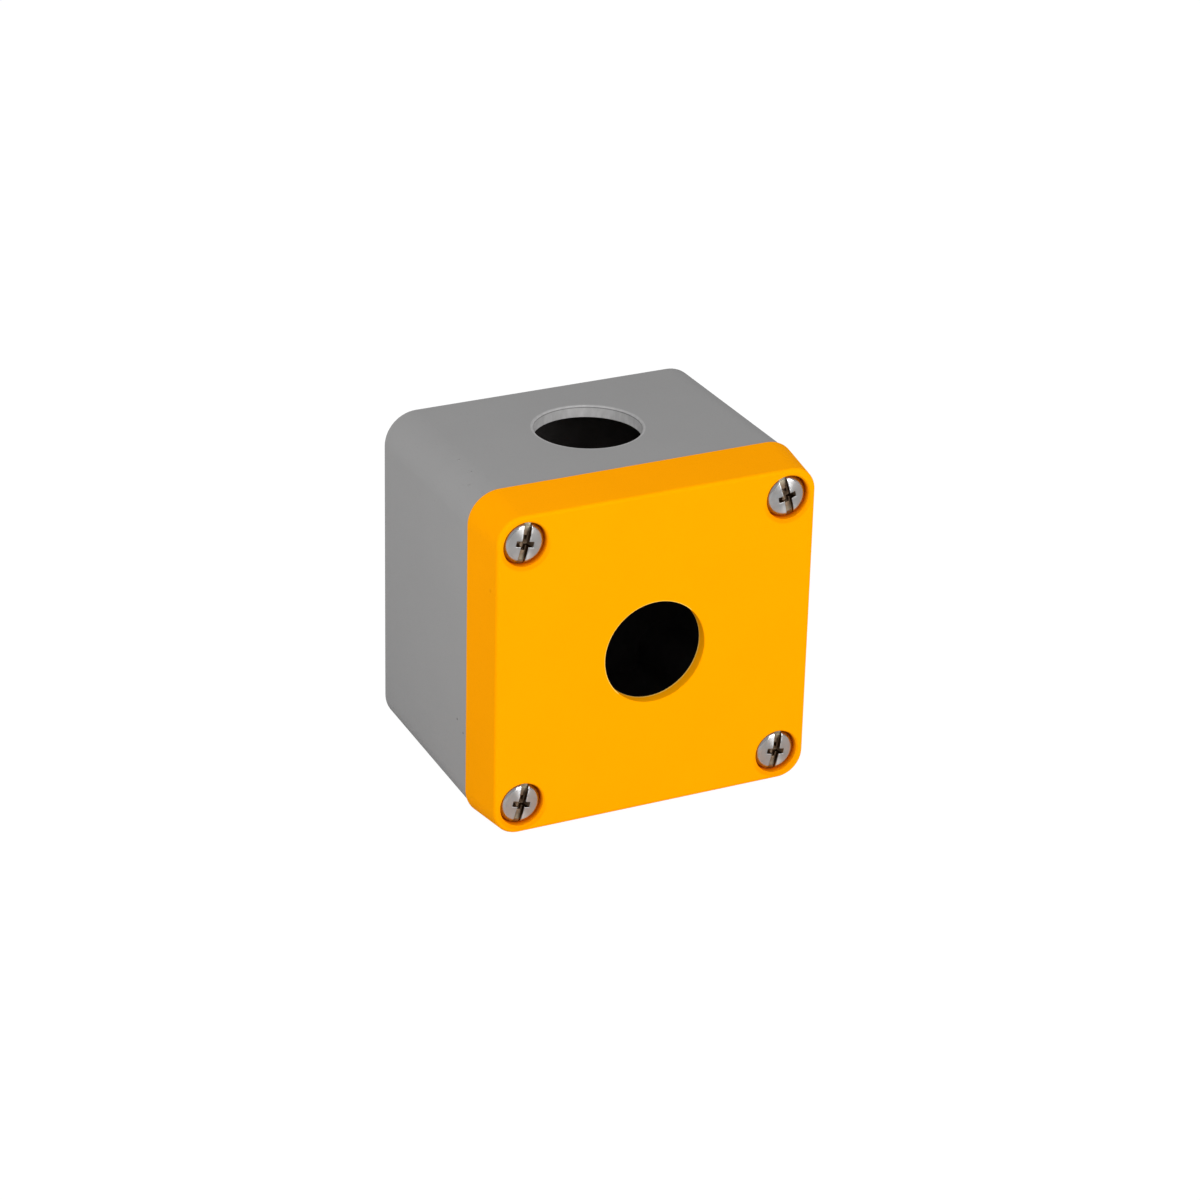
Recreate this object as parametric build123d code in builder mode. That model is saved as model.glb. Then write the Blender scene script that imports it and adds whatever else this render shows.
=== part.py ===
from build123d import *
import os

# Pushbutton enclosure: a die-cast metal box for one pushbutton, fixed to a wall by its flat back.
# Millimetres. The origin is the centre of the flat back, +X is right seen from the front,
# -Y points out of the wall to the front, and +Z is up.

# Lid, a shallow cast tray
lid_side = 73.0
lid_depth = 11.5
lid_corner_radius = 6.8
lid_side_draft = 6.75
lid_front_edge_radius = 0.8
lid_front_wall = 2.6
button_hole_diameter = 22.3
button_hole_edge_break = 0.1

# Housing, a deep cast box whose walls taper to the back
rim_overhang = 0.18
housing_depth = 44.5
housing_corner_radius = 7.0
housing_draft = 0.67
housing_back_edge_break = 0.4
side_wall = 2.7
back_wall = 3.0
core_draft = 0.5
core_corner_radius = 2.5
cable_entry_diameter = 22.5
cable_entry_chamfer = 0.2
cable_entry_from_back = 22.5

# Lid screws, one in each corner, and the cast columns that they enter
screw_inset = 7.5
column_radius = 6.0
thread_diameter = 4.0
thread_clearance = 0.03
tapped_depth = 11.0
screw_clearance = 0.25
lid_screw_length = 16.0
head_diameter = 9.0
head_height = 3.1
head_bevel = 1.1
head_pocket_diameter = 9.5
head_pocket_depth = 3.4
head_pocket_edge_break = 0.3
slot_width = 1.5
slot_depth = 1.4
cross_length = 4.7
cross_width = 1.3
cross_depth = 2.0
slot_lean = {"top_left": 12.0, "top_right": -15.0, "bottom_left": 14.0, "bottom_right": 10.0}

# Lid seat: a rib that enters the housing and a gasket in a groove beside it
rib_clearance = 0.2
rib_thickness = 1.3
rib_height = 2.0
groove_width = 1.9
groove_depth = 1.8
gasket_clearance = 0.05

# Wall fixing, two screw holes side by side through raised pads in the back wall
fixing_pitch = 50.0
fixing_hole_diameter = 4.8
fixing_pad_diameter = 10.0
fixing_pad_height = 1.0

# Earth terminal on a round boss in the back wall
earth_from_wall = 6.1
earth_from_column = 5.5
earth_boss_diameter = 9.4
earth_boss_height = 5.0
earth_tapped_depth = 6.0
earth_screw_length = 8.0
earth_cup_diameter = 9.2
earth_cup_wall = 0.8
earth_cup_lip = 0.8
earth_hole_clearance = 0.15
spring_washer_diameter = 7.0
spring_washer_thickness = 0.9
spring_washer_split = 0.6

# The seam between the housing and the lid, and the front face
seam = Plane.XZ.offset(housing_depth)
front = Plane.XZ.offset(housing_depth + lid_depth)
housing_side = lid_side - 2 * rim_overhang
core_side = housing_side - 2 * side_wall
screw_pitch = lid_side - 2 * screw_inset
core_arm = screw_pitch - 2 * column_radius
earth_x = earth_from_wall - core_side / 2
earth_z = earth_from_column - core_arm / 2


# The opening of the housing at the seam, with sharp corners: a square that steps in at each column
def core_cross(plane):
    with BuildSketch(plane) as cross:
        Rectangle(core_side, core_arm)
        Rectangle(core_arm, core_side)
    return cross.sketch


# The same opening with its rounded corners, grown by a distance for the rib, groove and gasket
def core_outline(plane, grow):
    with BuildSketch(plane) as outline:
        add(core_cross(Plane.XY))
        corners = outline.vertices().sort_by_distance((0, 0))
        fillet(corners[:4], column_radius)
        corners = outline.vertices().sort_by_distance((0, 0))
        fillet(corners[-8:], core_corner_radius)
        offset(amount=grow)
    return outline.sketch


# The flat walls of a casting that still stand square to its back, ready for their draft
def square_walls(casting):
    flats = casting.faces().filter_by(GeomType.PLANE)
    return flats.filter_by(lambda face: abs(face.normal_at().Y) < 0.001)


# The edges of a casting that run from front to back, from the innermost to the outermost
def depthwise_edges(casting):
    edges = casting.edges().filter_by(lambda edge: abs(edge.tangent_at(0.5).Y) > 0.9)
    return edges.sort_by(lambda edge: Vector(edge.center().X, edge.center().Z).length)


# The rims of the holes in a casting's front face, from the innermost to the outermost
def front_rims(casting):
    front_face = casting.faces().sort_by(Axis.Y)[0]
    return front_face.inner_wires().sort_by_distance(front.origin)


# Housing: the deep box with its columns, fixing pads, earth boss and cable entry
with BuildPart() as housing:
    with BuildSketch(-seam):
        Rectangle(housing_side, housing_side)
    extrude(amount=housing_depth)
    draft(square_walls(housing), -seam, housing_draft)
    fillet(depthwise_edges(housing), housing_corner_radius)
    back_face = housing.faces().sort_by(Axis.Y)[-1]
    chamfer(back_face.edges(), housing_back_edge_break)
    extrude(core_cross(-seam), amount=housing_depth - back_wall, mode=Mode.SUBTRACT)
    draft(square_walls(housing), -seam, -core_draft)
    fillet(depthwise_edges(housing)[4:12], core_corner_radius)
    fillet(depthwise_edges(housing)[:4], column_radius)
    inner_back = Plane.XZ.offset(back_wall)
    with BuildSketch(inner_back):
        with GridLocations(fixing_pitch, 0, 2, 1):
            Circle(fixing_pad_diameter / 2)
    extrude(amount=fixing_pad_height)
    with BuildSketch(inner_back):
        with Locations((earth_x, earth_z)):
            Circle(earth_boss_diameter / 2)
    extrude(amount=earth_boss_height)
    with Locations(seam):
        with GridLocations(screw_pitch, screw_pitch, 2, 2):
            Hole(thread_diameter / 2 + thread_clearance, depth=tapped_depth)
    with Locations(inner_back.offset(fixing_pad_height)):
        with GridLocations(fixing_pitch, 0, 2, 1):
            Hole(fixing_hole_diameter / 2, depth=back_wall + fixing_pad_height)
    with Locations(inner_back.offset(earth_boss_height)):
        with Locations((earth_x, earth_z)):
            Hole(thread_diameter / 2 + thread_clearance, depth=earth_tapped_depth)
    with Locations(Plane.XY.offset(housing_side / 2)):
        with Locations((0, -cable_entry_from_back)):
            Hole(cable_entry_diameter / 2, depth=2 * side_wall)
    top_face = housing.faces().sort_by(Axis.Z)[-1]
    chamfer(top_face.inner_wires()[0].edges(), cable_entry_chamfer)
housing.part.label = "housing"

# Lid: the tray with its rib, gasket groove, screw pockets and button hole
with BuildPart() as lid:
    with BuildSketch(seam):
        RectangleRounded(lid_side, lid_side, lid_corner_radius)
    extrude(amount=lid_depth, taper=lid_side_draft)
    front_face = lid.faces().sort_by(Axis.Y)[0]
    fillet(front_face.edges(), lid_front_edge_radius)
    extrude(core_outline(seam, groove_width - rib_clearance), amount=groove_depth, mode=Mode.SUBTRACT)
    groove_floor = seam.offset(groove_depth)
    extrude(core_outline(-groove_floor, -rib_clearance), amount=groove_depth + rib_height)
    rib_end = seam.offset(-rib_height)
    tray = core_outline(rib_end, -rib_clearance - rib_thickness)
    extrude(tray, amount=rib_height + lid_depth - lid_front_wall, mode=Mode.SUBTRACT)
    with Locations(front):
        Hole(button_hole_diameter / 2, depth=lid_front_wall)
        with GridLocations(screw_pitch, screw_pitch, 2, 2):
            CounterBoreHole(
                thread_diameter / 2 + screw_clearance, head_pocket_diameter / 2, head_pocket_depth, depth=lid_depth
            )
    pocket_rims = front_rims(lid)[1:]
    chamfer([edge for rim in pocket_rims for edge in rim.edges()], head_pocket_edge_break)
    chamfer(front_rims(lid)[0].edges(), button_hole_edge_break)
lid.part.label = "lid"

# Gasket: a rubber ring in the lid's groove, pressed on the housing's rim
with BuildPart() as lid_gasket:
    with BuildSketch(seam):
        add(core_outline(Plane.XY, groove_width - rib_clearance - gasket_clearance))
        add(core_outline(Plane.XY, gasket_clearance - rib_clearance), mode=Mode.SUBTRACT)
    extrude(amount=groove_depth)
lid_gasket.part.label = "lid_gasket"


# Steel screw with a bevelled pan head, a slot across it and a shorter cross recess.
# The seat plane is the underside of the head and faces the way the head faces.
def cross_slot_screw(seat, length, lean):
    side = Plane(origin=seat.origin, x_dir=seat.x_dir, z_dir=-seat.y_dir)
    thread_radius = thread_diameter / 2
    head_radius = head_diameter / 2
    with BuildPart() as screw:
        with BuildSketch(side):
            with BuildLine():
                Polyline(
                    (0, -length),
                    (thread_radius, -length),
                    (thread_radius, 0),
                    (head_radius, 0),
                    (head_radius, head_height - head_bevel),
                    (head_radius - head_bevel, head_height),
                    (0, head_height),
                    close=True,
                )
            make_face()
        revolve(axis=Axis(seat.origin, seat.z_dir))
        with BuildSketch(seat.offset(head_height)):
            Rectangle(slot_width, head_diameter + slot_width, rotation=-lean)
        extrude(amount=-slot_depth, mode=Mode.SUBTRACT)
        with BuildSketch(seat.offset(head_height)):
            Rectangle(cross_width, cross_length, rotation=-lean)
            Rectangle(cross_length, cross_width, rotation=-lean)
        extrude(amount=-cross_depth, mode=Mode.SUBTRACT)
    return screw


# Lid screws, standing in their pockets, each turned as it was left
lid_screws = {}
head_seat = front.offset(-head_pocket_depth)
for height, up in (("top", 1), ("bottom", -1)):
    for hand, right in (("left", -1), ("right", 1)):
        corner = f"{height}_{hand}"
        seat = Plane(
            origin=head_seat.from_local_coords((right * screw_pitch / 2, up * screw_pitch / 2, 0)),
            x_dir=head_seat.x_dir,
            z_dir=head_seat.z_dir,
        )
        lid_screw = cross_slot_screw(seat, lid_screw_length, slot_lean[corner])
        lid_screw.part.label = f"lid_screw_{corner}"
        lid_screws[corner] = lid_screw

# Earth terminal: a cup washer over the wire, a split spring washer and a screw on the boss
earth_face = Plane.XZ.offset(back_wall + earth_boss_height)
earth_base = Plane(
    origin=earth_face.from_local_coords((earth_x, earth_z, 0)),
    x_dir=earth_face.x_dir,
    z_dir=earth_face.z_dir,
)
washer_hole_radius = thread_diameter / 2 + earth_hole_clearance
earth_cup_height = earth_cup_lip + earth_cup_wall

with BuildPart() as earth_cup_washer:
    with BuildSketch(earth_base):
        Circle(earth_cup_diameter / 2)
    extrude(amount=earth_cup_height)
    with BuildSketch(earth_base):
        Circle(earth_cup_diameter / 2 - earth_cup_wall)
    extrude(amount=earth_cup_lip, mode=Mode.SUBTRACT)
    with Locations(earth_base.offset(earth_cup_height)):
        Hole(washer_hole_radius, depth=earth_cup_height)
earth_cup_washer.part.label = "earth_cup_washer"

with BuildPart() as earth_spring_washer:
    with BuildSketch(earth_base.offset(earth_cup_height)):
        Circle(spring_washer_diameter / 2)
        Circle(washer_hole_radius, mode=Mode.SUBTRACT)
        with Locations((spring_washer_diameter / 2, 0)):
            Rectangle(spring_washer_diameter, spring_washer_split, mode=Mode.SUBTRACT)
    extrude(amount=spring_washer_thickness)
earth_spring_washer.part.label = "earth_spring_washer"

earth_seat = earth_base.offset(earth_cup_height + spring_washer_thickness)
earth_screw = cross_slot_screw(earth_seat, earth_screw_length, 0)
earth_screw.part.label = "earth_screw"

# One file for each piece
pieces = [housing, lid, lid_gasket, *lid_screws.values(), earth_cup_washer, earth_spring_washer, earth_screw]
os.makedirs("parts", exist_ok=True)
for piece in pieces:
    export_step(piece.part, f"parts/{piece.part.label}.step")
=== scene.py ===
import math

import bmesh
import bpy
from mathutils import Matrix, Vector


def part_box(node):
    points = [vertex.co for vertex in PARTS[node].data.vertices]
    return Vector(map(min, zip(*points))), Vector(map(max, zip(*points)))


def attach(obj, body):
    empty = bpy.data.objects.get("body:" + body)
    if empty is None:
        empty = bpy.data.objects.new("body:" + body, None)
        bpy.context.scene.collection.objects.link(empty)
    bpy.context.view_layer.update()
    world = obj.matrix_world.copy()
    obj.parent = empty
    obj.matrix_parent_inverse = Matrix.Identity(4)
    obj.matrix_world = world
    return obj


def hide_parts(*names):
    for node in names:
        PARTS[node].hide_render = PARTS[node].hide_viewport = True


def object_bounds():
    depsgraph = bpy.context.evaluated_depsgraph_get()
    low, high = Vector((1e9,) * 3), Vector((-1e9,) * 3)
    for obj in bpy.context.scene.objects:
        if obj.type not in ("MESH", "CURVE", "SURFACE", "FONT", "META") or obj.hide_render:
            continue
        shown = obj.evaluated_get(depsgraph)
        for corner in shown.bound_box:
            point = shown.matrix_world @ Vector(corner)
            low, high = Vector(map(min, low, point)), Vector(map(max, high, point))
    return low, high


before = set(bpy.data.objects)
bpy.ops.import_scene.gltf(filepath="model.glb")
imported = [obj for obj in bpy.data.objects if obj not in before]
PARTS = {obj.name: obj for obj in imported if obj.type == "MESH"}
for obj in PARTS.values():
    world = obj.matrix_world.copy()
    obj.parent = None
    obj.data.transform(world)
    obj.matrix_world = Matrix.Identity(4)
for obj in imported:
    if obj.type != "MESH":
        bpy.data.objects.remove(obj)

CAD_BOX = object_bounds()


# Housing: a die-cast aluminium box with a matt grey powder coat outside. The coat has a fine
# grain and a few specks, each put on the skin nearest to its place. In the cable entry it is
# paler and streaked, with a painted highlight on the rim, painted light that grows deeper in the
# bore against its shade, and a painted shadow line once round below the rim. The inside is
# painted near-black, as painted shade.
GREY = (0.314, 0.311, 0.311, 1)
GREY_ROUGHNESS = 0.62
GREY_GLOSS = 0.2
TONE_SIZE = 0.012
TONE_LOW = 0.975
TONE_HIGH = 1.025
GRAIN_SIZE = 0.00035
GRAIN_HEIGHT = 0.00003
PIT_LEVEL = 0.36
PIT_SHARE = 0.5
PIT_SHADE = 0.9
SPECK_RADIUS = 0.0003
DARK_SPECKS = ((-0.0363, -0.03955, -0.01576), (-0.0363, -0.04262, -0.01748))
SPECK_SHADE = 0.25
PAINT_NIBS = ((-0.03107, -0.02731, 0.0363), (-0.0331, -0.0428, 0.0363),
              (-0.03122, -0.03364, 0.0363), (-0.03409, -0.0377, 0.0363))
NIB_SHADE = 1.2
NIB_HEIGHT = 6.0
ENTRY_PLACE = (0, -0.0225, 0)
ENTRY_REACH = 0.0118
ENTRY_TOP = 0.0365
ENTRY_DEPTH = 0.0028
ENTRY_RIM_HIGHLIGHT = 1.3
ENTRY_DEEP_LIGHT = 1.6
STREAK_SIZE = 0.0011
STREAK_STRETCH = (1, 1, 0.45)
STREAK_CONTRAST = 2.0
STREAK_OFFSET = -0.4
STREAK_SHADE = 1.12
TOP_DRAFT = 0.01166
SHADOW_LINE_HEIGHT = 0.0354
SHADOW_LINE_HALF = 0.0001
SHADOW_LINE_SHADE = 0.7
INSIDE_SHADE = (0.026, 0.023, 0.022, 1)
INSIDE_SHADE_BLOTCH = 0.004
INSIDE_SHADE_LOW = 0.5
INSIDE_SHADE_HIGH = 1.6
CORE_HALF = 0.03367
CORE_DRAFT = 0.00873
SEAM = -0.0445
INSIDE_BACK = -0.0029


def new_finish(name, colour, roughness, metallic, gloss):
    finish = bpy.data.materials.new(name)
    finish.use_nodes = True
    shader = finish.node_tree.nodes["Principled BSDF"]
    shader.inputs["Base Color"].default_value = colour
    shader.inputs["Roughness"].default_value = roughness
    shader.inputs["Metallic"].default_value = metallic
    shader.inputs["Specular IOR Level"].default_value = gloss
    return finish, shader


def add_node(tree, kind, sockets, **settings):
    node = tree.nodes.new(kind)
    for name, value in settings.items():
        setattr(node, name, value)
    for socket, value in sockets.items():
        if isinstance(value, bpy.types.NodeSocket):
            tree.links.new(value, node.inputs[socket])
        else:
            node.inputs[socket].default_value = value
    return node


def calc(tree, operation, *values):
    node = add_node(tree, "ShaderNodeMath", dict(enumerate(values)), operation=operation)
    return node.outputs[0]


def vector_calc(tree, operation, *values):
    node = add_node(tree, "ShaderNodeVectorMath", dict(enumerate(values)), operation=operation)
    return node.outputs["Value" if operation in ("DISTANCE", "LENGTH") else "Vector"]


def merged(tree, operation, masks):
    total = masks[0]
    for mask in masks[1:]:
        total = calc(tree, operation, total, mask)
    return total


def own_place(tree):
    return tree.nodes.new("ShaderNodeTexCoord").outputs["Object"]


def split(tree, vector):
    return add_node(tree, "ShaderNodeSeparateXYZ", {0: vector}).outputs[:]


def ramp(tree, value, start, end, low=0.0, high=1.0, curve="LINEAR"):
    node = add_node(tree, "ShaderNodeMapRange", {
        "Value": value, "From Min": start, "From Max": end, "To Min": low, "To Max": high},
        interpolation_type=curve)
    return node.outputs["Result"]


def noise(tree, where, size, detail):
    node = add_node(tree, "ShaderNodeTexNoise", {
        "Vector": where, "Scale": 1 / size, "Detail": detail})
    return node.outputs["Fac"]


def mixed(tree, share, first, second):
    node = add_node(tree, "ShaderNodeMix", {0: share, 6: first, 7: second}, data_type="RGBA")
    return node.outputs[2]


def shaded(colour, level):
    return tuple(channel * level for channel in colour[:3]) + (1,)


def mottled(tree, where, colour, size, low, high, detail=3):
    return mixed(tree, noise(tree, where, size, detail), shaded(colour, low), shaded(colour, high))


def emboss(tree, shader, height, distance):
    bump = add_node(tree, "ShaderNodeBump", {"Height": height, "Distance": distance})
    tree.links.new(bump.outputs["Normal"], shader.inputs["Normal"])


def speck(tree, where, node, place):
    spot = PARTS[node].closest_point_on_mesh(place)[1]
    gap = vector_calc(tree, "DISTANCE", where, spot)
    return ramp(tree, gap, SPECK_RADIUS, SPECK_RADIUS / 2, curve="SMOOTHSTEP")


def powder_coat(tree, shader, where, colour, nibs):
    grain = noise(tree, where, GRAIN_SIZE, 3)
    raised = calc(tree, "ADD", grain, calc(tree, "MULTIPLY", nibs, NIB_HEIGHT))
    emboss(tree, shader, raised, GRAIN_HEIGHT)
    tone = mottled(tree, where, colour, TONE_SIZE, TONE_LOW, TONE_HIGH, detail=2)
    pits = calc(tree, "MULTIPLY", calc(tree, "LESS_THAN", grain, PIT_LEVEL), PIT_SHARE)
    return mixed(tree, pits, tone, shaded(colour, PIT_SHADE))


def dress(node, finish):
    for slot in PARTS[node].material_slots:
        slot.material = finish


grey_coat, grey_shader = new_finish("grey_coat", GREY, GREY_ROUGHNESS, 0, GREY_GLOSS)
tree = grey_coat.node_tree
where = own_place(tree)
x, y, z = split(tree, where)

nibs = merged(tree, "MAXIMUM", [speck(tree, where, "housing", place) for place in PAINT_NIBS])
specks = merged(tree, "MAXIMUM", [speck(tree, where, "housing", place) for place in DARK_SPECKS])
coat = powder_coat(tree, grey_shader, where, GREY, nibs)
coat = mixed(tree, specks, coat, shaded(GREY, SPECK_SHADE))
coat = mixed(tree, nibs, coat, shaded(GREY, NIB_SHADE))

from_entry = vector_calc(tree, "DISTANCE", vector_calc(tree, "MULTIPLY", where, (1, 1, 0)),
                         ENTRY_PLACE)
at_entry = calc(tree, "MULTIPLY", calc(tree, "LESS_THAN", from_entry, ENTRY_REACH),
                calc(tree, "GREATER_THAN", z, 0.0))
# Painted light: the entry's wall is paler, with a painted highlight on the rim and painted light
# that grows deeper into the bore.
entry_wall_lit = mixed(tree, ramp(tree, z, ENTRY_TOP, ENTRY_TOP - ENTRY_DEPTH),
                   shaded(GREY, ENTRY_RIM_HIGHLIGHT), shaded(GREY, ENTRY_DEEP_LIGHT))
drawn = vector_calc(tree, "MULTIPLY", where, STREAK_STRETCH)
streak = calc(tree, "MULTIPLY_ADD", noise(tree, drawn, STREAK_SIZE, 3), STREAK_CONTRAST,
              STREAK_OFFSET)
entry_wall_lit = mixed(tree, streak, shaded(GREY, STREAK_SHADE), entry_wall_lit)
# Painted shadow: a dark line once round the entry's wall, below the rim.
below_top = calc(tree, "MULTIPLY_ADD", y, TOP_DRAFT, z)
shadow_line_gap = calc(tree, "ABSOLUTE", calc(tree, "SUBTRACT", below_top, SHADOW_LINE_HEIGHT))
on_shadow_line = calc(tree, "LESS_THAN", shadow_line_gap, SHADOW_LINE_HALF)
entry_wall_lit = mixed(tree, on_shadow_line, entry_wall_lit, shaded(GREY, SHADOW_LINE_SHADE))
coat = mixed(tree, at_entry, coat, entry_wall_lit)

# Painted shade: the housing's inside is painted near-black.
reach = calc(tree, "MAXIMUM", calc(tree, "ABSOLUTE", x), calc(tree, "ABSOLUTE", z))
core_reach = calc(tree, "MULTIPLY_ADD", calc(tree, "SUBTRACT", y, SEAM), CORE_DRAFT, reach)
inside = calc(tree, "MULTIPLY", calc(tree, "LESS_THAN", core_reach, CORE_HALF),
              calc(tree, "LESS_THAN", y, INSIDE_BACK))
inside_shade = mottled(tree, where, INSIDE_SHADE, INSIDE_SHADE_BLOTCH, INSIDE_SHADE_LOW, INSIDE_SHADE_HIGH)
tree.links.new(mixed(tree, inside, coat, inside_shade), grey_shader.inputs["Base Color"])
dress("housing", grey_coat)


# Earth terminal: a brass cup washer over the wire, a split spring washer in zinc-plated
# steel, and a turned, nickel-plated screw into the housing's boss. The screw's slot and cross
# are punched and their edges worn, and the slot and cross are painted darker, most at the
# middle, as painted shade. It all shows only with the lid off.
BRASS = (0.72, 0.5, 0.2, 1)
ZINC = (0.55, 0.56, 0.58, 1)
METAL_GLOSS = 0.5
STAIN_SIZE = 0.0025
STAIN_LOW = 0.88
STAIN_HIGH = 1.12
NICKEL = (0.52, 0.52, 0.52, 1)
PLATING_SIZE = 0.0018
PLATING_LOW = 0.85
PLATING_HIGH = 1.15
TURNED_STRETCH = 0.85
LATHE_MARK = 0.00009
SCRATCH_HEIGHT = 0.000006
RIM_START = 0.0034
RIM_POLISHED = 0.0037
CROWN_ROUGHNESS = 0.42
RIM_ROUGHNESS = 0.16
RECESS_TOP = 0.0003
RECESS_FLOOR = 0.0024
RECESS_MARGIN = 0.00001
RECESS_SHADE = (0.17, 0.12, 0.08, 1)
SLOT_END_SHADE = (0.3, 0.27, 0.2, 1)
HEAD_RADIUS = 0.0045
HEAD_HEIGHT = 0.0031
CROWN_SPHERE = 0.02
CROWN_REACH = 0.0033
CROWN_STEPS = 5
RIM_ROUNDING = 0.0011
RIM_STEPS = 7
TURNING_STEPS = 72
SHANK_RADIUS = 0.002
NECK = 0.0012
TIP = 0.0005
THREAD_CORE = 0.00162
THREAD_ROOT = THREAD_CORE - 0.00004
THREAD_START = HEAD_HEIGHT + NECK
THREAD_PITCH = 0.0007
THREAD_STEPS = 24
THREAD_FORM = ((THREAD_ROOT, 0.06), (SHANK_RADIUS, 0.43), (SHANK_RADIUS, 0.57),
               (THREAD_ROOT, 0.94))
SLOT_WIDTH = 0.0016
SLOT_DEPTH = 0.0011
CROSS_LENGTH = 0.0047
CROSS_WIDTH = 0.0013
CROSS_DEPTH = 0.002
CROSS_TAPER = 0.55
PUNCH_ABOVE = 0.001
EDGE_WEAR = 0.0001
EDGE_ANGLE = math.radians(30)
EDGE_DEPTH = 0.0026
SMOOTH_ANGLE = math.radians(35)
WELD = 1e-7
EARTH_SCREW_LENGTH = 0.008


def plated_metal(name, colour, roughness, dent_size):
    finish, shader = new_finish(name, colour, roughness, 1, METAL_GLOSS)
    tree = finish.node_tree
    where = own_place(tree)
    stained = mottled(tree, where, colour, STAIN_SIZE, STAIN_LOW, STAIN_HIGH)
    tree.links.new(stained, shader.inputs["Base Color"])
    emboss(tree, shader, noise(tree, where, dent_size, 2), SCRATCH_HEIGHT)
    return finish


def turned_nickel():
    finish, shader = new_finish("turned_nickel", NICKEL, CROWN_ROUGHNESS, 1, METAL_GLOSS)
    tree = finish.node_tree
    from_axis = add_node(tree, "ShaderNodeUVMap", {}, uv_map="from_axis").outputs["UV"]
    across, along = split(tree, from_axis)[:2]
    outward = add_node(tree, "ShaderNodeCombineXYZ", {"X": across, "Z": along}).outputs["Vector"]
    tree.links.new(vector_calc(tree, "NORMALIZE", outward), shader.inputs["Tangent"])
    shader.inputs["Anisotropic"].default_value = TURNED_STRETCH

    radius = vector_calc(tree, "LENGTH", outward)
    marks = add_node(tree, "ShaderNodeTexNoise", {
        "W": radius, "Scale": 1 / LATHE_MARK, "Detail": 1}, noise_dimensions="1D")
    emboss(tree, shader, marks.outputs["Fac"], SCRATCH_HEIGHT)
    polish = ramp(tree, radius, RIM_START, RIM_POLISHED, CROWN_ROUGHNESS, RIM_ROUGHNESS)
    tree.links.new(polish, shader.inputs["Roughness"])

    # Painted shade: the slot and cross are darkened, most at the middle.
    recess = add_node(tree, "ShaderNodeUVMap", {}, uv_map="recess").outputs["UV"]
    in_recess, depth = split(tree, recess)[:2]
    in_recess = calc(tree, "MULTIPLY", in_recess, calc(tree, "LESS_THAN", depth, RECESS_FLOOR))
    outer = ramp(tree, radius, CROSS_LENGTH / 2, RIM_POLISHED)
    recess_shade = mixed(tree, outer, RECESS_SHADE, SLOT_END_SHADE)
    plating = mottled(tree, own_place(tree), NICKEL, PLATING_SIZE, PLATING_LOW, PLATING_HIGH)
    tree.links.new(mixed(tree, in_recess, plating, recess_shade), shader.inputs["Base Color"])
    return finish


def turn_blank(length):
    blank = bmesh.new()
    crown = blank.verts.new((0, 0, 0))
    bmesh.ops.spin(blank, geom=[crown], cent=(0, CROWN_SPHERE, 0), axis=(0, 0, 1),
                   angle=-math.asin(CROWN_REACH / CROWN_SPHERE), steps=CROWN_STEPS)
    last = max(blank.verts, key=lambda vert: abs(vert.co.x))
    side = math.copysign(1, last.co.x)
    rim_drop = CROWN_SPHERE - math.sqrt(CROWN_SPHERE ** 2 - HEAD_RADIUS ** 2)
    end = HEAD_HEIGHT + length
    for radius, depth in ((HEAD_RADIUS, rim_drop), (HEAD_RADIUS, HEAD_HEIGHT),
                          (SHANK_RADIUS, HEAD_HEIGHT), (SHANK_RADIUS, THREAD_START),
                          (THREAD_CORE, THREAD_START), (THREAD_CORE, end - TIP),
                          (THREAD_CORE - TIP, end), (0, end)):
        corner = blank.verts.new((side * radius, depth, 0))
        blank.edges.new((last, corner))
        last = corner
    bmesh.ops.spin(blank, geom=blank.verts[:] + blank.edges[:], cent=(0, 0, 0), axis=(0, 1, 0),
                   angle=2 * math.pi, steps=TURNING_STEPS, use_merge=True)
    bmesh.ops.remove_doubles(blank, verts=blank.verts, dist=WELD)
    bmesh.ops.recalc_face_normals(blank, faces=blank.faces)
    rim = [edge for edge in blank.edges
           if all(abs(vert.co.y - rim_drop) < WELD for vert in edge.verts)]
    bmesh.ops.bevel(blank, geom=rim, offset=RIM_ROUNDING, segments=RIM_STEPS, profile=0.5,
                    affect="EDGES", material=-1)
    return blank


def punch(length, width, depth, taper, turned):
    tool = bmesh.new()
    bmesh.ops.create_cube(tool, size=1)
    bmesh.ops.scale(tool, vec=(width, depth + PUNCH_ABOVE, length), verts=tool.verts)
    bmesh.ops.translate(tool, vec=(0, (depth - PUNCH_ABOVE) / 2, 0), verts=tool.verts)
    tip = [vert for vert in tool.verts if vert.co.y > 0]
    bmesh.ops.scale(tool, vec=(math.sqrt(taper), 1, taper), verts=tip)
    bmesh.ops.rotate(tool, matrix=Matrix.Rotation(turned, 3, "Y"), verts=tool.verts)
    return tool


def put_in_scene(name, mesh):
    data = bpy.data.meshes.new(name)
    mesh.to_mesh(data)
    mesh.free()
    piece = bpy.data.objects.new(name, data)
    bpy.context.scene.collection.objects.link(piece)
    return piece


def stamped(blank, tools):
    body = put_in_scene("blank", blank)
    punches = [put_in_scene("punch", tool) for tool in tools]
    for tool in punches:
        cut = body.modifiers.new("cut", "BOOLEAN")
        cut.operation = "DIFFERENCE"
        cut.solver = "EXACT"
        cut.object = tool
    bpy.context.view_layer.update()
    finished = body.evaluated_get(bpy.context.evaluated_depsgraph_get())
    result = bpy.data.meshes.new_from_object(finished)
    shape = bmesh.new()
    shape.from_mesh(result)
    for thing in [body, *punches]:
        bpy.data.objects.remove(thing)
    bpy.data.meshes.remove(result)
    return shape


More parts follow.
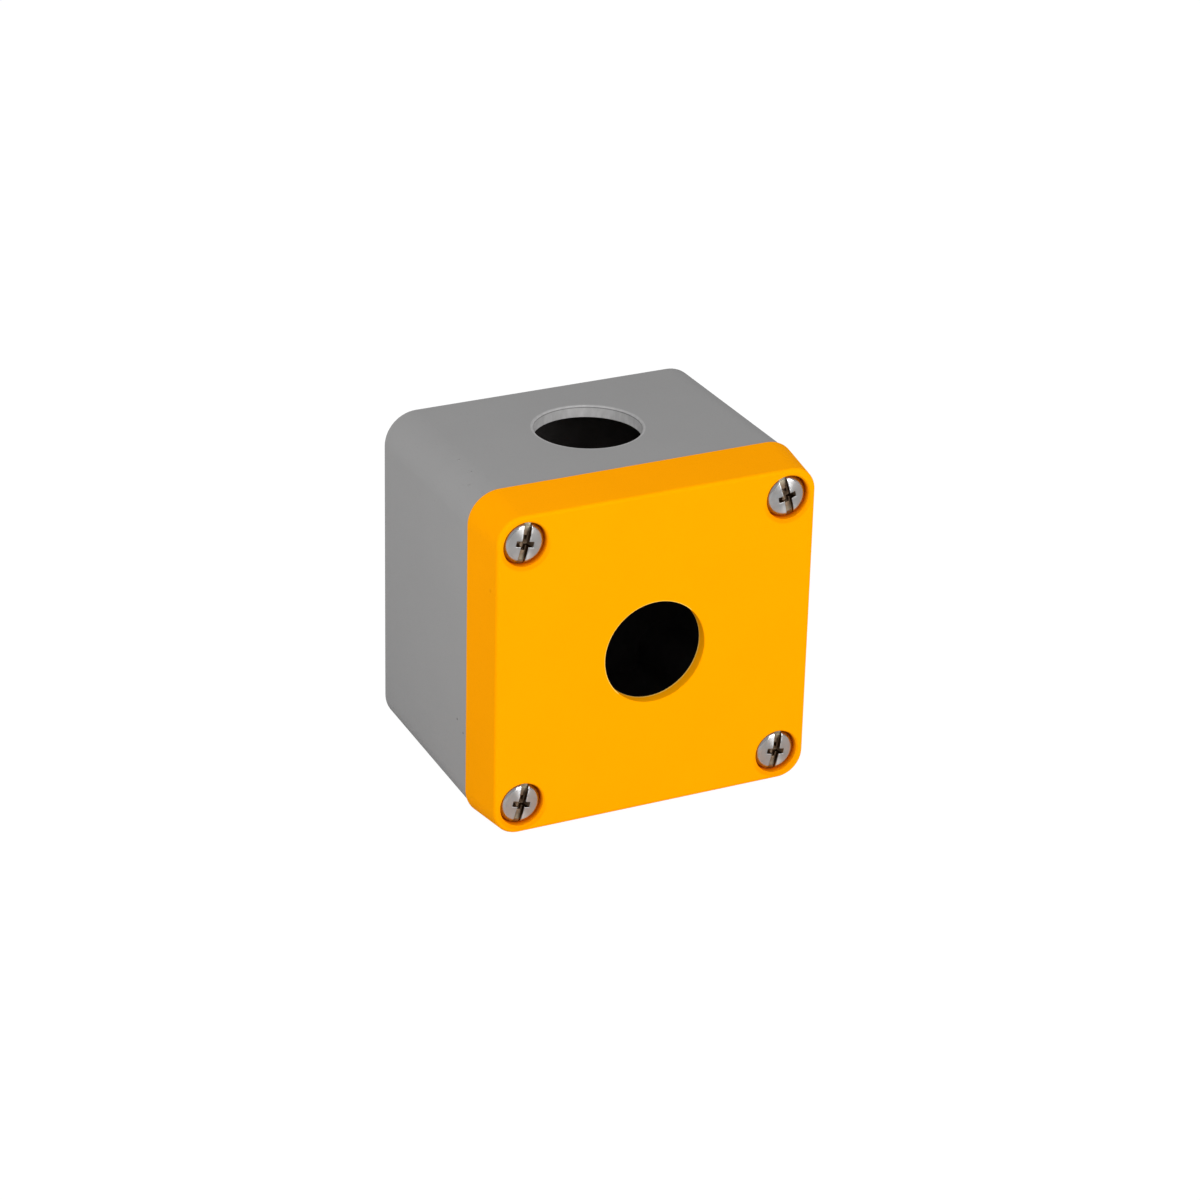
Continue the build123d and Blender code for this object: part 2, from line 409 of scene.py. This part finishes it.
def wear_edges(shape):
    worn = [edge for edge in shape.edges if edge.calc_face_angle() > EDGE_ANGLE
            and max(vert.co.y for vert in edge.verts) < EDGE_DEPTH]
    bmesh.ops.bevel(shape, geom=worn, offset=EDGE_WEAR, segments=2, profile=0.5,
                    affect="EDGES", material=-1)


def roll_thread(shape, length):
    turns = int((length - NECK - TIP) / THREAD_PITCH)
    ridge = [shape.verts.new((radius, THREAD_START + share * THREAD_PITCH, 0))
             for radius, share in THREAD_FORM]
    profile = shape.faces.new(ridge)
    bmesh.ops.spin(shape, geom=[profile, *profile.edges, *ridge], cent=(0, 0, 0),
                   axis=(0, 1, 0), dvec=(0, THREAD_PITCH / THREAD_STEPS, 0),
                   angle=2 * math.pi * turns, steps=THREAD_STEPS * turns)


def map_recess(shape):
    recess = shape.loops.layers.uv.new("recess")
    for face in shape.faces:
        centre = face.calc_center_median()
        in_slot = abs(centre.x) < SLOT_WIDTH / 2 + RECESS_MARGIN
        in_cross = (abs(centre.z) < CROSS_WIDTH / 2 + RECESS_MARGIN
                    and abs(centre.x) < CROSS_LENGTH / 2 and centre.y > RECESS_TOP)
        for corner in face.loops:
            corner[recess].uv = (in_slot or in_cross, corner.vert.co.y)


def map_from_axis(shape):
    from_axis = shape.loops.layers.uv.new("from_axis")
    for face in shape.faces:
        for corner in face.loops:
            corner[from_axis].uv = corner.vert.co.xz


def slotted_cross_screw(node, finish, length, lean):
    shape = stamped(turn_blank(length), [
        punch(3 * HEAD_RADIUS, SLOT_WIDTH, SLOT_DEPTH, 1, 0),
        punch(CROSS_LENGTH, CROSS_WIDTH, CROSS_DEPTH, CROSS_TAPER, 0),
        punch(CROSS_LENGTH, CROSS_WIDTH, CROSS_DEPTH, CROSS_TAPER, math.pi / 2)])
    wear_edges(shape)
    roll_thread(shape, length)
    map_recess(shape)
    turned = Matrix.Rotation(math.radians(lean), 3, "Y")
    bmesh.ops.rotate(shape, matrix=turned, verts=shape.verts)
    map_from_axis(shape)
    low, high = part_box(node)
    middle = (low + high) / 2
    bmesh.ops.translate(shape, vec=(middle.x, low.y, middle.z), verts=shape.verts)
    screw = put_in_scene(f"{node}_turned", shape)
    screw.data.shade_smooth()
    screw.data.set_sharp_from_angle(angle=SMOOTH_ANGLE)
    screw.data.materials.append(finish)
    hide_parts(node)
    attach(screw, "root")


dress("earth_cup_washer", plated_metal("plain_brass", BRASS, roughness=0.32, dent_size=0.0006))
dress("earth_spring_washer", plated_metal("zinc_plate", ZINC, roughness=0.35, dent_size=0.0005))
nickel = turned_nickel()
slotted_cross_screw("earth_screw", nickel, EARTH_SCREW_LENGTH, 0)


# Lid gasket: a moulded ring of black rubber, lying in the lid's groove and pressed on the
# housing's rim. It is matt, with a little bloom.
RUBBER = (0.02, 0.02, 0.02, 1)
RUBBER_ROUGHNESS = 0.75
RUBBER_GLOSS = 0.3
BLOOM_SIZE = 0.002
BLOOM_HIGH = 2.2
SKIN_SIZE = 0.00025
SKIN_HEIGHT = 0.00001

rubber, rubber_shader = new_finish("black_rubber", RUBBER, RUBBER_ROUGHNESS, 0, RUBBER_GLOSS)
tree = rubber.node_tree
where = own_place(tree)
bloom = mottled(tree, where, RUBBER, BLOOM_SIZE, 1, BLOOM_HIGH)
tree.links.new(bloom, rubber_shader.inputs["Base Color"])
emboss(tree, rubber_shader, noise(tree, where, SKIN_SIZE, 2), SKIN_HEIGHT)
dress("lid_gasket", rubber)


# Lid: a die-cast aluminium tray in satin yellow powder coat, held by four screws in its
# corner pockets. The wall of the button hole is painted a lighter orange as painted light, and
# both its edges carry a pale painted highlight. The pockets and their soft lower lips carry a
# deeper orange as painted shade. The tray's inside is painted near-black as painted shade.
YELLOW = (1.0, 0.364, 0.0, 1)
YELLOW_ROUGHNESS = 0.6
YELLOW_GLOSS = 0.008
GLOSS_TINT = (1, 0.45, 0.05, 1)
FRONT_PLANE = -0.056
LID_SPECK = (-0.0355, -0.0535, 0.0192)
HOLE_WALL_LIGHT = (1.0, 0.39, 0.0, 1)
EDGE_HIGHLIGHT = (1.0, 0.6, 0.1, 1)
HOLE_RADIUS = 0.01115
HOLE_MARGIN = 0.00002
EDGE_REACH = 0.00016
BACK_EDGE_REACH = 0.00035
POCKET_SHADE_COLOUR = (0.95, 0.17, 0.0, 1)
SCREW_PLACE = 0.029
POCKET_REACH = 0.0051
POCKET_SHADE = 0.0018
LIP_REACH = 0.0057
LIP_FADE = 0.0003
LIP_START = -0.001
LIP_FULL = 0.004
LIP_SHADE = 0.3
TRAY_CEILING = -0.0535
TRAY_HALF = 0.0325
POCKET_COLUMN = 0.0075


def hypotenuse(tree, first, second):
    squares = [calc(tree, "POWER", side, 2.0) for side in (first, second)]
    return calc(tree, "SQRT", calc(tree, "ADD", *squares))


yellow_coat, yellow_shader = new_finish("yellow_coat", YELLOW, YELLOW_ROUGHNESS, 0, YELLOW_GLOSS)
yellow_shader.inputs["Specular Tint"].default_value = GLOSS_TINT
tree = yellow_coat.node_tree
where = own_place(tree)
x, y, z = split(tree, where)
across = calc(tree, "ABSOLUTE", x)
along = calc(tree, "ABSOLUTE", z)
coat = powder_coat(tree, yellow_shader, where, YELLOW, speck(tree, where, "lid", LID_SPECK))

from_hole = hypotenuse(tree, across, along)
behind_front = FRONT_PLANE + EDGE_REACH
in_hole = calc(tree, "MULTIPLY", calc(tree, "LESS_THAN", from_hole, HOLE_RADIUS + HOLE_MARGIN),
               calc(tree, "GREATER_THAN", y, behind_front))
# Painted highlight: a pale line on the hole's front edge, on its upper left side, and on its back
# edge.
at_hole = calc(tree, "LESS_THAN", from_hole, HOLE_RADIUS + EDGE_REACH)
front_highlight = calc(tree, "MULTIPLY", calc(tree, "LESS_THAN", y, behind_front),
                  calc(tree, "GREATER_THAN", z, x))
back_highlight = calc(tree, "GREATER_THAN", y, TRAY_CEILING - BACK_EDGE_REACH)
hole_edge_highlight = calc(tree, "MULTIPLY", at_hole, calc(tree, "MAXIMUM", front_highlight, back_highlight))
# Painted light: the hole's wall takes a lighter orange.
coat = mixed(tree, in_hole, coat, HOLE_WALL_LIGHT)
coat = mixed(tree, hole_edge_highlight, coat, EDGE_HIGHLIGHT)

# Painted shade: deeper orange in the screw pockets, growing with depth, and on their lower lips.
from_screw = hypotenuse(tree, calc(tree, "SUBTRACT", across, SCREW_PLACE),
                        calc(tree, "SUBTRACT", along, SCREW_PLACE))
in_pocket = calc(tree, "MULTIPLY", calc(tree, "LESS_THAN", from_screw, POCKET_REACH),
                 ramp(tree, y, FRONT_PLANE, FRONT_PLANE + POCKET_SHADE))
screw_z = calc(tree, "MULTIPLY", calc(tree, "SIGN", z), SCREW_PLACE)
below = calc(tree, "SUBTRACT", screw_z, z)
lip_shade = ramp(tree, below, LIP_START, LIP_FULL, high=LIP_SHADE, curve="SMOOTHSTEP")
on_lip = ramp(tree, from_screw, LIP_REACH, LIP_REACH - LIP_FADE, high=lip_shade)
coat = mixed(tree, calc(tree, "MAXIMUM", in_pocket, on_lip), coat, POCKET_SHADE_COLOUR)

# Painted shade: the tray's inside is painted near-black.
inside = merged(tree, "MULTIPLY", [
    calc(tree, "GREATER_THAN", y, TRAY_CEILING),
    calc(tree, "LESS_THAN", calc(tree, "MAXIMUM", across, along), TRAY_HALF),
    calc(tree, "GREATER_THAN", from_screw, POCKET_COLUMN)])
tree.links.new(mixed(tree, inside, coat, INSIDE_SHADE), yellow_shader.inputs["Base Color"])
dress("lid", yellow_coat)


# Lid screws: four nickel-plated M4 pan heads, turned, with a slot and a shorter cross
# punched in. Each was driven home by hand, so its slot stands at its own angle, in degrees.
LEANS = {"top_left": 12, "top_right": -15, "bottom_left": 14, "bottom_right": 10}
LID_SCREW_LENGTH = 0.016

for corner, lean in LEANS.items():
    slotted_cross_screw(f"lid_screw_{corner}", nickel, LID_SCREW_LENGTH, lean)


# Stage: a pale floor under the box, a white room, and three soft lamps: a strong one in
# front, the only one that the screws mirror, a weak one above on the left, and a small one
# close to the left side. The floor glows for the camera alone, so it shows white.
FLOOR_COLOUR = (0.93, 0.93, 0.93, 1)
FLOOR_BOUNCE = (0.66, 0.66, 0.66, 1)
FLOOR_HALF = 6
GLOW_SHARE = 0.93
GLOW_STRENGTH = 1.05
ROOM_LIGHT = 0.465


def seen_directly(tree):
    return tree.nodes.new("ShaderNodeLightPath").outputs["Is Camera Ray"]


floor_mesh = bmesh.new()
bmesh.ops.create_grid(floor_mesh, x_segments=1, y_segments=1, size=FLOOR_HALF)
bmesh.ops.translate(floor_mesh, vec=(0, 0, CAD_BOX[0][2]), verts=floor_mesh.verts)
floor = put_in_scene("floor", floor_mesh)

floor_paint, floor_shader = new_finish("floor_paint", FLOOR_COLOUR, 1, 0, 0)
tree = floor_paint.node_tree
seen = seen_directly(tree)
floor_tone = mixed(tree, seen, FLOOR_BOUNCE, FLOOR_COLOUR)
tree.links.new(floor_tone, floor_shader.inputs["Base Color"])
glow = add_node(tree, "ShaderNodeEmission", {"Color": (1, 1, 1, 1), "Strength": GLOW_STRENGTH})
blend = add_node(tree, "ShaderNodeMixShader", {
    0: calc(tree, "MULTIPLY", seen, GLOW_SHARE), 1: floor_shader.outputs[0], 2: glow.outputs[0]})
tree.links.new(blend.outputs[0], tree.nodes["Material Output"].inputs["Surface"])
floor.data.materials.append(floor_paint)

room = bpy.data.worlds.new("room")
bpy.context.scene.world = room
room.use_nodes = True
tree = room.node_tree
backdrop = tree.nodes["Background"]
backdrop.inputs["Color"].default_value = (1, 1, 1, 1)
tree.links.new(ramp(tree, seen_directly(tree), 0, 1, low=ROOM_LIGHT), backdrop.inputs["Strength"])


def soft_lamp(name, place, width, height, power):
    lamp = bpy.data.lights.new(name, "AREA")
    lamp.shape = "RECTANGLE"
    lamp.size = width
    lamp.size_y = height
    lamp.energy = power
    holder = bpy.data.objects.new(name, lamp)
    aim = (CAD_BOX[0] + CAD_BOX[1]) / 2
    holder.location = place
    holder.rotation_euler = (aim - Vector(place)).to_track_quat("-Z", "Y").to_euler()
    bpy.context.scene.collection.objects.link(holder)
    return holder


soft_lamp("front_lamp", (0.42, -0.98, 0.32), width=0.6, height=0.65, power=6.8)
key_lamp = soft_lamp("key_lamp", (-0.5, -0.86, 0.6), width=0.9, height=0.7, power=2.8)
side_lamp = soft_lamp("side_lamp", (-0.3, -0.1, 0.2), width=0.15, height=0.15, power=0.4)
for lamp in (key_lamp, side_lamp):
    lamp.visible_glossy = False


# Camera: the photograph's place, turn and lens, seen from the upper left of the lid. Its
# right and up directions were fitted to the photo, so up is squared to right here.
LENS = 115.9
SENSOR_WIDTH = 36
CAMERA_PLACE = Vector((-0.3158, -0.6765, 0.3499))
CAMERA_RIGHT = Vector((0.9029, -0.4293, 0.0218))
CAMERA_UP = Vector((0.1701, 0.4035, 0.8990))

lens = bpy.data.cameras.new("camera")
lens.lens = LENS
lens.sensor_width = SENSOR_WIDTH
camera = bpy.data.objects.new("camera", lens)
bpy.context.scene.collection.objects.link(camera)
right = CAMERA_RIGHT.normalized()
back = right.cross(CAMERA_UP).normalized()
turn = Matrix((right, back.cross(right), back)).transposed().to_4x4()
camera.matrix_world = Matrix.Translation(CAMERA_PLACE) @ turn
bpy.context.scene.camera = camera
bpy.context.scene.view_settings.view_transform = "Standard"
